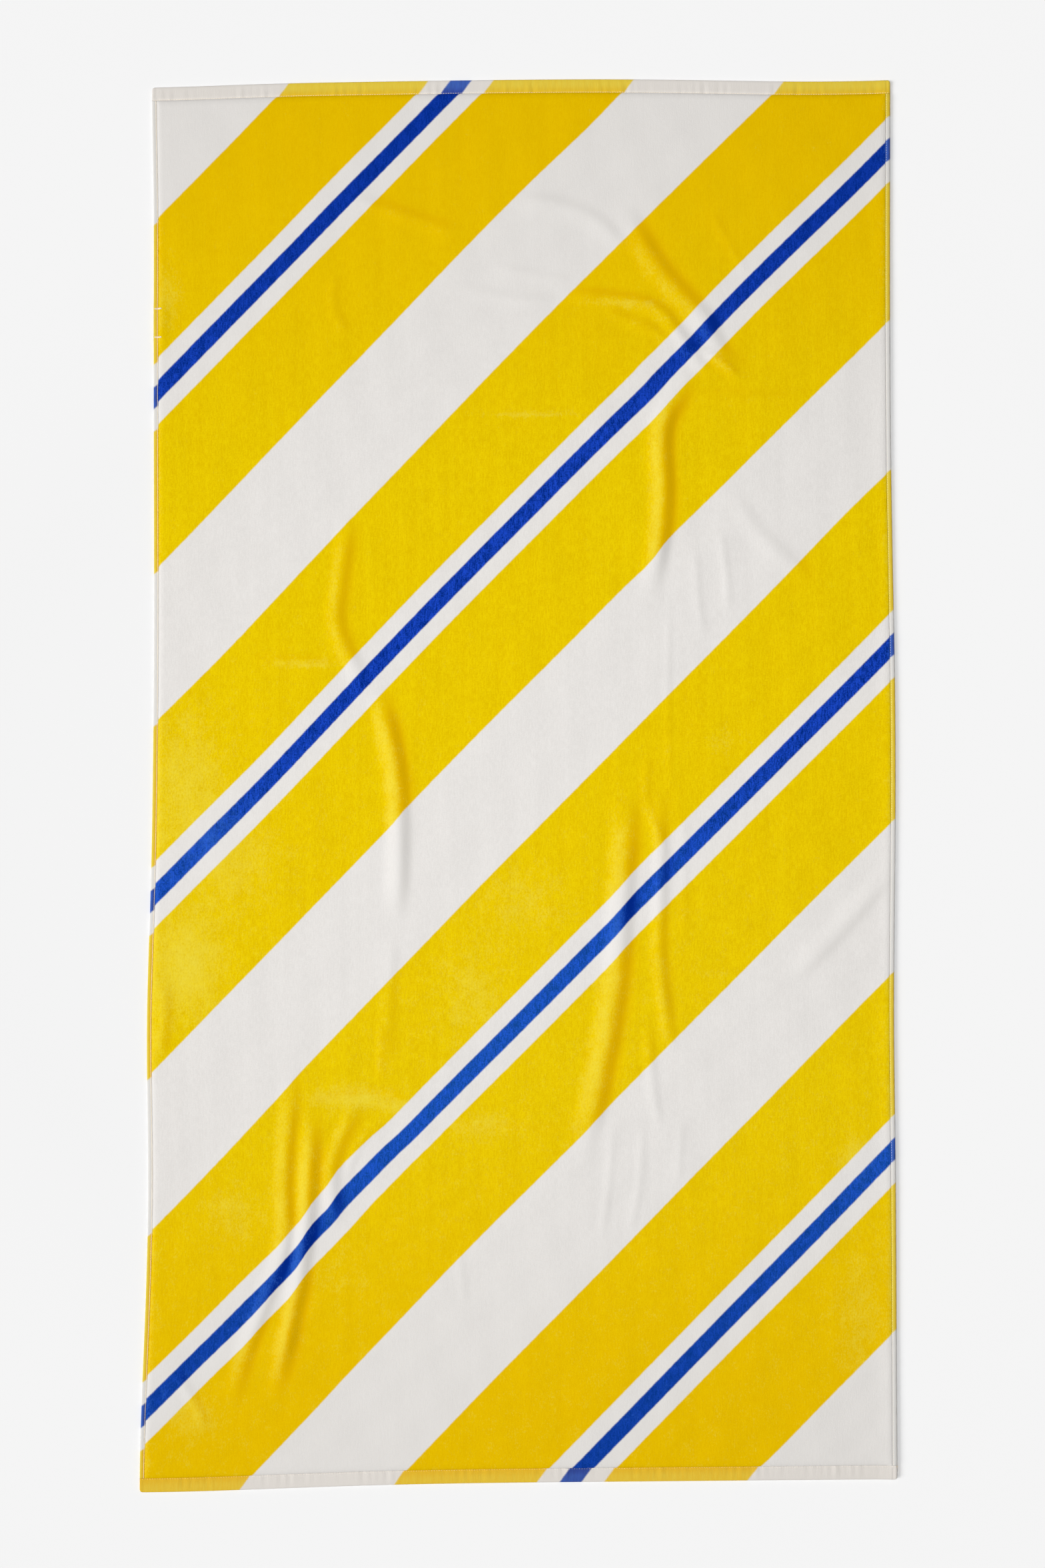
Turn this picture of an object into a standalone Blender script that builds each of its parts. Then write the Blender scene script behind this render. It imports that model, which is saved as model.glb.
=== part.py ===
"""A velour beach towel, lying face up on a flat surface.

One woven cloth makes the field of pile and the four hems, which are folded to the back and sewn down
with lockstitch seams of two threads each. A small blank label is sewn to the back of the left hem.
The field is drawn flat: the low folds of cloth that has been laid down by hand are left out here.

Metres, +Z up, +Y along the towel. A place on the cloth is (u, v), measured from the cloth's middle as if
it lay perfectly straight, and lie() says where that place comes to rest.
"""

import math

import bmesh
import bpy
from mathutils import Vector

# The cloth
WIDTH = 0.900
LENGTH = 1.700
CORNER_RADIUS = 0.004
PILE_THICKNESS = 0.0040  # velour on the face, ground weave, and loops on the back
PILE_EDGE_DROP = 0.0012  # how far the pile rounds down beside the hems
PILE_EDGE_LINES = (0.0, 0.0006, 0.0015, 0.0030)  # from the pile's edge, where its round is drawn
GAP = 0.0003  # between pieces that touch

# The hems: three layers of cloth, with the seam near the inner edge
END_HEM_WIDTH = 0.017
SIDE_HEM_WIDTH = 0.006
END_HEM_THICKNESS = 0.0026
SIDE_HEM_THICKNESS = 0.0030
FOLD_FACE = 0.0008  # height of the nearly upright strip at the outer fold
FOLD_LINES = (0.0, 0.0003, 0.0008, 0.0015)  # from the outer fold, where its round is drawn
SEAM_FROM_INNER_EDGE = 0.0012

# The stitched grooves and the threads that lie in them
GROOVE_FLOOR = 0.0005  # half width
GROOVE_RIM = 0.0009  # half width
NEEDLE_GROOVE_DEPTH = 0.0006
BOBBIN_GROOVE_DEPTH = 0.0009
THREAD_RADIUS = 0.00025
THREAD_END = 0.0015  # from the outer fold to where a seam goes out of sight

# The label, a strip of tape with both ends folded under
LABEL_MIDDLE = 0.5565  # v of its middle
LABEL_LENGTH = 0.038
LABEL_WIDTH = 0.010
LABEL_TAPE = 0.00045
LABEL_FOLD = 0.005
LABEL_FROM_EDGE = 0.0008
TACK_SPACING = 0.035
TACK_THREAD_RADIUS = 0.00015
TACK_GROOVE_DEPTH = 0.00065
TACK_GROOVE_HALF_WIDTH = 0.0005
LABEL_LIFT = 2 * LABEL_TAPE + GAP  # how far the hem rises over the label
LABEL_RAMP = 0.012  # along the hem, to either side of the label

# How finely the smooth shapes are drawn
STATIONS_ALONG = 40
STATIONS_ACROSS = 22
PANEL_COLUMNS = 12
PANEL_ROWS = 40

# How the cloth lies: its ends rise a little toward +X, by this much for each metre across
SKEW = 0.0104

# Where the cloth was pulled away from straight as it was laid down:
# (u, v) of the middle of each pull, its (u, v) shift, and how far it reaches
PULLS = (
    ((-0.45, -0.85), (-0.0100, -0.0080), 0.16),
    ((-0.45, -0.30), (-0.0040, 0.0000), 0.10),
    ((-0.45, 0.15), (0.0025, 0.0000), 0.20),
    ((-0.45, 0.85), (-0.0030, -0.0030), 0.08),
    ((0.45, 0.50), (-0.0022, 0.0000), 0.20),
    ((0.45, 0.05), (0.0022, 0.0000), 0.15),
    ((0.45, -0.30), (-0.0015, 0.0000), 0.10),
    ((0.38, 0.85), (0.0000, -0.0060), 0.14),
    ((0.00, 0.85), (0.0000, 0.0015), 0.25),
)

# Colours, linear
YELLOW = (0.790, 0.549, 0.004)
PALE_YELLOW = (0.730, 0.520, 0.060)
CREAM = (0.760, 0.720, 0.660)
WHITE = (0.800, 0.780, 0.750)


def clear_scene():
    for thing in list(bpy.data.objects):
        bpy.data.objects.remove(thing)


def cloth_material(name, colour, roughness=0.9):
    material = bpy.data.materials.new(name)
    material.use_nodes = True
    shader = material.node_tree.nodes["Principled BSDF"]
    shader.inputs["Base Color"].default_value = (*colour, 1.0)
    shader.inputs["Roughness"].default_value = roughness
    shader.inputs["Metallic"].default_value = 0.0
    return material


def evenly(start, stop, steps):
    return [start + (stop - start) * i / steps for i in range(steps + 1)]


def smooth(t):
    """0 to 1 with flat ends."""
    t = min(max(t, 0.0), 1.0)
    return t * t * (3.0 - 2.0 * t)


def rounded_corner(u, v):
    """Moves a place near a square corner of the cloth onto the corner's quarter circle."""
    inner_u = WIDTH / 2 - CORNER_RADIUS
    inner_v = LENGTH / 2 - CORNER_RADIUS
    a = (abs(u) - inner_u) / CORNER_RADIUS
    b = (abs(v) - inner_v) / CORNER_RADIUS
    if a <= 0.0 or b <= 0.0:
        return u, v
    round_u = inner_u + CORNER_RADIUS * a * math.sqrt(1.0 - b * b / 2.0)
    round_v = inner_v + CORNER_RADIUS * b * math.sqrt(1.0 - a * a / 2.0)
    return math.copysign(round_u, u), math.copysign(round_v, v)


def lie(u, v):
    """Where the place (u, v) of the cloth comes to rest."""
    x, y = rounded_corner(u, v)
    y += SKEW * u
    for (at_u, at_v), (shift_u, shift_v), reach in PULLS:
        share = math.exp(-((u - at_u) ** 2 + (v - at_v) ** 2) / (2.0 * reach**2))
        x += shift_u * share
        y += shift_v * share
    return x, y


def cloth_slab(name, us, vs, top, bottom, material):
    """A closed solid over the grid of us and vs, between two heights that are functions of (u, v)."""
    shape = bmesh.new()
    upper = [[shape.verts.new((*lie(u, v), top(u, v))) for v in vs] for u in us]
    lower = [[shape.verts.new((*lie(u, v), bottom(u, v))) for v in vs] for u in us]
    last_u, last_v = len(us) - 1, len(vs) - 1
    for i in range(last_u):
        for j in range(last_v):
            shape.faces.new((upper[i][j], upper[i + 1][j], upper[i + 1][j + 1], upper[i][j + 1]))
            shape.faces.new((lower[i][j], lower[i][j + 1], lower[i + 1][j + 1], lower[i + 1][j]))
    around = [(i, 0) for i in range(last_u)]
    around += [(last_u, j) for j in range(last_v)]
    around += [(i, last_v) for i in range(last_u, 0, -1)]
    around += [(0, j) for j in range(last_v, 0, -1)]
    for (i, j), (k, m) in zip(around, around[1:] + around[:1]):
        shape.faces.new((upper[i][j], lower[i][j], lower[k][m], upper[k][m]))
    mesh = bpy.data.meshes.new(name)
    shape.to_mesh(mesh)
    shape.free()
    return place(name, mesh, material)


def place(name, data, material):
    data.materials.append(material)
    piece = bpy.data.objects.new(name, data)
    bpy.context.scene.collection.objects.link(piece)
    return piece


def groove(distance, depth):
    """Depth of a seam's groove at a distance from the seam line."""
    return depth * (1.0 - smooth((abs(distance) - GROOVE_FLOOR) / (GROOVE_RIM - GROOVE_FLOOR)))


def groove_lines(seam):
    return [seam + side * half for side, half in
            ((-1, GROOVE_RIM), (-1, GROOVE_FLOOR), (1, GROOVE_FLOOR), (1, GROOVE_RIM))]


def fold_half_height(distance, thickness):
    """Half the height of a hem at a distance from its outer fold, which is round."""
    radius = thickness / 2
    inward = min(distance, radius)
    return max(math.sqrt(radius**2 - (radius - inward) ** 2), FOLD_FACE / 2)


def seam_inset(hem_width):
    """From the outer fold to the seam line."""
    return hem_width - SEAM_FROM_INNER_EDGE


def label_lift(v):
    """How far the label raises the left hem."""
    beyond = abs(v - LABEL_MIDDLE) - LABEL_LENGTH / 2 - GAP
    return LABEL_LIFT * (1.0 - smooth(beyond / LABEL_RAMP))


def side_distance(u):
    return WIDTH / 2 - abs(u)


def end_distance(v):
    return LENGTH / 2 - abs(v)


def end_hem_top(u, v):
    half = fold_half_height(min(side_distance(u), end_distance(v)), END_HEM_THICKNESS)
    own_seam = groove(end_distance(v) - seam_inset(END_HEM_WIDTH), NEEDLE_GROOVE_DEPTH)
    side_seam = groove(side_distance(u) - seam_inset(SIDE_HEM_WIDTH), NEEDLE_GROOVE_DEPTH)
    return END_HEM_THICKNESS / 2 + half - max(own_seam, side_seam)


def end_hem_bottom(u, v):
    half = fold_half_height(min(side_distance(u), end_distance(v)), END_HEM_THICKNESS)
    own_seam = groove(end_distance(v) - seam_inset(END_HEM_WIDTH), BOBBIN_GROOVE_DEPTH)
    return END_HEM_THICKNESS / 2 - half + own_seam


def side_hem_top(u, v):
    half = fold_half_height(side_distance(u), SIDE_HEM_THICKNESS)
    own_seam = groove(side_distance(u) - seam_inset(SIDE_HEM_WIDTH), NEEDLE_GROOVE_DEPTH)
    lift = label_lift(v) if u < 0 else 0.0
    return SIDE_HEM_THICKNESS / 2 + half - own_seam + lift


def side_hem_bottom(u, v):
    half = fold_half_height(side_distance(u), SIDE_HEM_THICKNESS)
    own_seam = groove(side_distance(u) - seam_inset(SIDE_HEM_WIDTH), BOBBIN_GROOVE_DEPTH)
    lift = label_lift(v) if u < 0 else 0.0
    return SIDE_HEM_THICKNESS / 2 - half + own_seam + lift


def across_stations():
    """u of the stations of an end hem: fine at both side folds and side seams, even between."""
    insets = list(FOLD_LINES) + groove_lines(seam_inset(SIDE_HEM_WIDTH))
    left = [inset - WIDTH / 2 for inset in insets]
    right = [-u for u in reversed(left)]
    return left + evenly(left[-1], right[0], STATIONS_ACROSS)[1:-1] + right


def along_stations(with_label):
    """v of the stations of a side hem, from the bottom hem to the top hem."""
    reach = LENGTH / 2 - END_HEM_WIDTH
    stations = evenly(-reach, reach, STATIONS_ALONG)
    if with_label:
        half = LABEL_LENGTH / 2 + GAP
        steps = (half, half + LABEL_RAMP / 2, half + LABEL_RAMP)
        around_label = [LABEL_MIDDLE + side * step for side in (-1, 1) for step in steps]
        low, high = min(around_label), max(around_label)
        stations = [v for v in stations if not low <= v <= high] + around_label
    return sorted(stations)


def make_end_hem(name, side, material):
    """side is +1 at the top of the towel and -1 at the bottom."""
    insets = list(FOLD_LINES) + groove_lines(seam_inset(END_HEM_WIDTH))
    vs = sorted(side * (LENGTH / 2 - inset) for inset in insets)
    return cloth_slab(name, across_stations(), vs, end_hem_top, end_hem_bottom, material)


def make_side_hem(name, side, material):
    """side is +1 at the right of the towel and -1 at the left."""
    insets = list(FOLD_LINES) + groove_lines(seam_inset(SIDE_HEM_WIDTH))
    us = sorted(side * (WIDTH / 2 - inset) for inset in insets)
    vs = along_stations(with_label=side < 0)
    return cloth_slab(name, us, vs, side_hem_top, side_hem_bottom, material)


def pile_top(u, v):
    """The face of the pile, which rounds down beside the hems."""
    inward = min(side_distance(u) - SIDE_HEM_WIDTH, end_distance(v) - END_HEM_WIDTH)
    return PILE_THICKNESS - PILE_EDGE_DROP * (1.0 - smooth(inward / PILE_EDGE_LINES[-1]))


def panel_stations(reach, steps):
    """Stations from edge to edge of the field: fine where the pile rounds down, even between."""
    low = [inset - reach for inset in PILE_EDGE_LINES]
    high = [-station for station in reversed(low)]
    return low + evenly(low[-1], high[0], steps)[1:-1] + high


def make_panel(material):
    """The field of pile, with a notch in its underside for the label."""
    reach_u = WIDTH / 2 - SIDE_HEM_WIDTH
    us = panel_stations(reach_u, PANEL_COLUMNS)
    vs = panel_stations(LENGTH / 2 - END_HEM_WIDTH, PANEL_ROWS)
    panel = cloth_slab("terry_panel", us, vs, pile_top, lambda u, v: 0.0, material)
    dissolve_underside(panel.data)
    notch = make_label_notch(reach_u)
    cut = panel.modifiers.new("label_notch", "BOOLEAN")
    cut.operation = "DIFFERENCE"
    cut.object = notch
    return panel


def dissolve_underside(mesh):
    """Turns the flat underside's grid into one face, as wide as the field."""
    shape = bmesh.new()
    shape.from_mesh(mesh)
    flat = [f for f in shape.faces if f.calc_center_median().z < GAP and f.normal.z < -0.5]
    bmesh.ops.dissolve_faces(shape, faces=flat, use_verts=True)
    shape.to_mesh(mesh)
    shape.free()


def make_label_notch(reach_u):
    """The cutter that frees the label's place under the field's left edge."""
    inner = LABEL_FROM_EDGE + LABEL_WIDTH + GAP - WIDTH / 2
    outer = -reach_u - SIDE_HEM_WIDTH
    x, y = lie((inner + outer) / 2, LABEL_MIDDLE)
    bpy.ops.mesh.primitive_cube_add(size=1.0, location=(x, y, 0.0))
    notch = bpy.context.object
    notch.name = "label_notch_cutter"
    notch.scale = (inner - outer, LABEL_LENGTH + 2 * GAP, 2 * LABEL_LIFT)
    bpy.context.view_layer.update()
    notch.data.transform(notch.matrix_basis)
    notch.matrix_basis.identity()
    notch.hide_render = True
    notch.display_type = "WIRE"
    return notch


def make_thread(name, row, radius, material):
    """A row of stitches, as a four-sided tube along the row's points with closed ends."""
    curve = bpy.data.curves.new(name, "CURVE")
    curve.dimensions = "3D"
    curve.bevel_depth = radius
    curve.bevel_resolution = 0
    curve.use_fill_caps = True
    spline = curve.splines.new("POLY")
    spline.points.add(len(row) - 1)
    for point, place_of_point in zip(spline.points, row):
        point.co = (*place_of_point, 1.0)
    return place(name, curve, material)


def in_groove(u, v, top):
    """A point of the needle thread, lying in the groove of a hem's face."""
    return (*lie(u, v), top(u, v) + GAP + THREAD_RADIUS)


def under_groove(u, v, bottom):
    """A point of the bobbin thread, lying in the groove of a hem's back."""
    return (*lie(u, v), bottom(u, v) - GAP - THREAD_RADIUS)


def make_end_threads(end_name, side, material):
    """The two threads of an end hem's seam. The needle thread steps over the side seams' threads."""
    v = side * (LENGTH / 2 - seam_inset(END_HEM_WIDTH))
    crossing = WIDTH / 2 - seam_inset(SIDE_HEM_WIDTH)
    step = GAP + 2 * THREAD_RADIUS
    outer = WIDTH / 2 - THREAD_END
    middle = [u for u in across_stations() if abs(u) < crossing - GROOVE_RIM]
    level = END_HEM_THICKNESS - NEEDLE_GROOVE_DEPTH + GAP + THREAD_RADIUS
    left_hop = [(-outer, 0), (-crossing - GROOVE_RIM, 0), (-crossing - GROOVE_FLOOR, step),
                (-crossing + GROOVE_FLOOR, step), (-crossing + GROOVE_RIM, 0)]
    right_hop = [(-u, rise) for u, rise in reversed(left_hop)]
    route = left_hop + [(u, 0) for u in middle] + right_hop
    face_row = [(*lie(u, v), level + rise) for u, rise in route]
    back_row = [under_groove(u, v, end_hem_bottom) for u, _ in route]
    make_thread(f"{end_name}_needle_thread", face_row, THREAD_RADIUS, material)
    make_thread(f"{end_name}_bobbin_thread", back_row, THREAD_RADIUS, material)


def make_side_threads(side_name, side, material):
    """The two threads of a side hem's seam. The needle thread runs on over both end hems."""
    u = side * (WIDTH / 2 - seam_inset(SIDE_HEM_WIDTH))
    stations = along_stations(with_label=side < 0)
    end_seam = seam_inset(END_HEM_WIDTH)
    over_bottom = [inset - LENGTH / 2 for inset in (THREAD_END, end_seam + GROOVE_FLOOR)]
    over_top = [-v for v in reversed(over_bottom)]
    face_row = [in_groove(u, v, end_hem_top) for v in over_bottom]
    face_row += [in_groove(u, v, side_hem_top) for v in stations]
    face_row += [in_groove(u, v, end_hem_top) for v in over_top]
    back_row = [under_groove(u, v, side_hem_bottom) for v in stations]
    make_thread(f"{side_name}_needle_thread", face_row, THREAD_RADIUS, material)
    make_thread(f"{side_name}_bobbin_thread", back_row, THREAD_RADIUS, material)


def make_label(material):
    """A tape with both ends folded under, and a groove across each folded end for its tack."""
    half = LABEL_LENGTH / 2
    tack = TACK_SPACING / 2
    near, far = tack - TACK_GROOVE_HALF_WIDTH, tack + TACK_GROOVE_HALF_WIDTH
    underside = [(half - LABEL_FOLD, LABEL_TAPE), (half - LABEL_FOLD, 0.0), (near, 0.0),
                 (near, TACK_GROOVE_DEPTH), (far, TACK_GROOVE_DEPTH), (far, 0.0), (half, 0.0)]
    outline = [(-y, z) for y, z in reversed(underside)] + underside
    outline += [(half, 2 * LABEL_TAPE), (-half, 2 * LABEL_TAPE)]
    x, y_middle = lie(LABEL_FROM_EDGE - WIDTH / 2, LABEL_MIDDLE)
    shape = bmesh.new()
    side_face = shape.faces.new([shape.verts.new((x, y_middle + y, z)) for y, z in outline])
    swept = bmesh.ops.extrude_face_region(shape, geom=[side_face])["geom"]
    moved = [v for v in swept if isinstance(v, bmesh.types.BMVert)]
    bmesh.ops.translate(shape, vec=(LABEL_WIDTH, 0, 0), verts=moved)
    bmesh.ops.recalc_face_normals(shape, faces=shape.faces)
    mesh = bpy.data.meshes.new("label")
    shape.to_mesh(mesh)
    shape.free()
    return place("label", mesh, material)


def make_label_threads(material):
    """A short row of stitches across each folded end: one thread on the towel's face, one on the label."""
    outer_u = LABEL_FROM_EDGE + THREAD_END / 2 - WIDTH / 2
    seam_u = seam_inset(SIDE_HEM_WIDTH) - WIDTH / 2
    inner_u = outer_u + LABEL_WIDTH - THREAD_END
    hem_face = SIDE_HEM_THICKNESS + LABEL_LIFT
    rest = hem_face + GAP + THREAD_RADIUS
    over_seam = rest + 2 * THREAD_RADIUS
    stops = ((outer_u, rest), (seam_u - GROOVE_RIM, over_seam),
             (seam_u + GROOVE_RIM, over_seam), (inner_u, rest))
    for end_name, side in (("upper", 1), ("lower", -1)):
        v = LABEL_MIDDLE + side * TACK_SPACING / 2
        face_row = [(*lie(u, v), z) for u, z in stops]
        back_row = [(*lie(u, v), TACK_THREAD_RADIUS) for u in (outer_u, inner_u)]
        make_thread(f"label_{end_name}_needle_thread", face_row, TACK_THREAD_RADIUS, material)
        make_thread(f"label_{end_name}_bobbin_thread", back_row, TACK_THREAD_RADIUS, material)


def centre_on_origin():
    """Puts the middle of the towel's box over the origin, with its underside at Z = 0."""
    bpy.context.view_layer.update()
    pieces = list(bpy.context.scene.objects)
    shown = [piece for piece in pieces if not piece.hide_render]
    corners = [piece.matrix_world @ Vector(c) for piece in shown for c in piece.bound_box]
    middle_x = (min(c.x for c in corners) + max(c.x for c in corners)) / 2
    middle_y = (min(c.y for c in corners) + max(c.y for c in corners)) / 2
    for piece in pieces:
        piece.location.x -= middle_x
        piece.location.y -= middle_y


def build():
    clear_scene()
    weave = cloth_material("flat_weave", PALE_YELLOW)
    thread = cloth_material("sewing_thread", CREAM, roughness=0.6)
    make_panel(cloth_material("velour", YELLOW, roughness=1.0))
    for name, side in (("top", 1), ("bottom", -1)):
        make_end_hem(f"{name}_hem", side, weave)
        make_end_threads(name, side, thread)
    for name, side in (("left", -1), ("right", 1)):
        make_side_hem(f"{name}_hem", side, weave)
        make_side_threads(name, side, thread)
    make_label(cloth_material("label_tape", WHITE, roughness=0.5))
    make_label_threads(thread)
    centre_on_origin()


build()
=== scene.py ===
"""The looks of a velour beach towel that lies face up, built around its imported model.

Metres, +Z up, +Y along the towel. A place on the cloth is (u, v), measured from the cloth's middle as if
it lay perfectly straight. lie() says where in the plan it comes to rest, and bed() how high its underside
lies there. The plan's origin is the cloth's middle. The row frame's origin is the middle of the model's box
instead, so settle() moves every piece by the same small step.
"""

import math

import bpy
import numpy as np
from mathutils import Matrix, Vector


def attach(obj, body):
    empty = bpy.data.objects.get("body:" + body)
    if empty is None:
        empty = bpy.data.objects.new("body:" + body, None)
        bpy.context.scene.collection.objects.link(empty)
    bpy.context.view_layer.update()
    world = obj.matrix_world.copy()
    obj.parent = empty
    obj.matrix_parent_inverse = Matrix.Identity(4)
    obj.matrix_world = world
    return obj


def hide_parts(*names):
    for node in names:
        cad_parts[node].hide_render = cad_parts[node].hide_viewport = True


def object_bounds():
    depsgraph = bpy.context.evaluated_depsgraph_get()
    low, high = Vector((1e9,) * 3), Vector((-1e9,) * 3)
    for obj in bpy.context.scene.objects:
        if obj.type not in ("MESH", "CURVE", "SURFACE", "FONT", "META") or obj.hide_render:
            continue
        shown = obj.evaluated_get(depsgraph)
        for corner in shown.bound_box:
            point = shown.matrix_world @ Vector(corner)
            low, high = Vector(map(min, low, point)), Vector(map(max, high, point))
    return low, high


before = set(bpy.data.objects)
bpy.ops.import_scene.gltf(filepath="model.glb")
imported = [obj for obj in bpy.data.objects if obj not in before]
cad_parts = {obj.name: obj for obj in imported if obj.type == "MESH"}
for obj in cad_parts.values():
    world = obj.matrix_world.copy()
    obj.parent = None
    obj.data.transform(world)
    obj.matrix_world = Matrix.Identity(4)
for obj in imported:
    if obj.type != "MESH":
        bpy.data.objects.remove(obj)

CAD_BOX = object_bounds()

# The cloth, as in the model
WIDTH = 0.900
LENGTH = 1.700
CORNER_RADIUS = 0.004
PILE_THICKNESS = 0.0040
END_HEM_WIDTH = 0.017
SIDE_HEM_WIDTH = 0.006
END_HEM_THICKNESS = 0.0026
SIDE_HEM_THICKNESS = 0.0030
SEAM_FROM_INNER_EDGE = 0.0012
END_SEAM = END_HEM_WIDTH - SEAM_FROM_INNER_EDGE  # from the outer fold to the seam
SIDE_SEAM = SIDE_HEM_WIDTH - SEAM_FROM_INNER_EDGE
LABEL_MIDDLE = 0.5565
LABEL_LENGTH = 0.038
LABEL_WIDTH = 0.010
LABEL_TAPE = 0.00045
LABEL_FOLD = 0.005
LABEL_FROM_EDGE = 0.0008
LABEL_LIFT = 0.0012
LABEL_RAMP = 0.012
LABEL_OFF_FLOOR = 0.00002
LABEL_DRAWN = 0.96  # share of the tape's thickness, so that its folded layers stay apart
LABEL_POINTS = (6, 9, 24)  # along its turned-under end, round its fold, and along its face
LABEL_LINES = 11
LABEL_SHARP = math.radians(50)
TACK_SPACING = 0.035
TACK_OFF_FLOOR = 0.0002

# How the cloth lies, as in the model: (u, v) of each pull's middle, its shift, and its reach
SKEW = 0.0104
PULLS = (
    ((-0.45, -0.85), (-0.0100, -0.0080), 0.16),
    ((-0.45, -0.30), (-0.0040, 0.0000), 0.10),
    ((-0.45, 0.15), (0.0025, 0.0000), 0.20),
    ((-0.45, 0.85), (-0.0030, -0.0030), 0.08),
    ((0.45, 0.50), (-0.0022, 0.0000), 0.20),
    ((0.45, 0.05), (0.0022, 0.0000), 0.15),
    ((0.45, -0.30), (-0.0015, 0.0000), 0.10),
    ((0.38, 0.85), (0.0000, -0.0060), 0.14),
    ((0.00, 0.85), (0.0000, 0.0015), 0.25),
)

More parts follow.
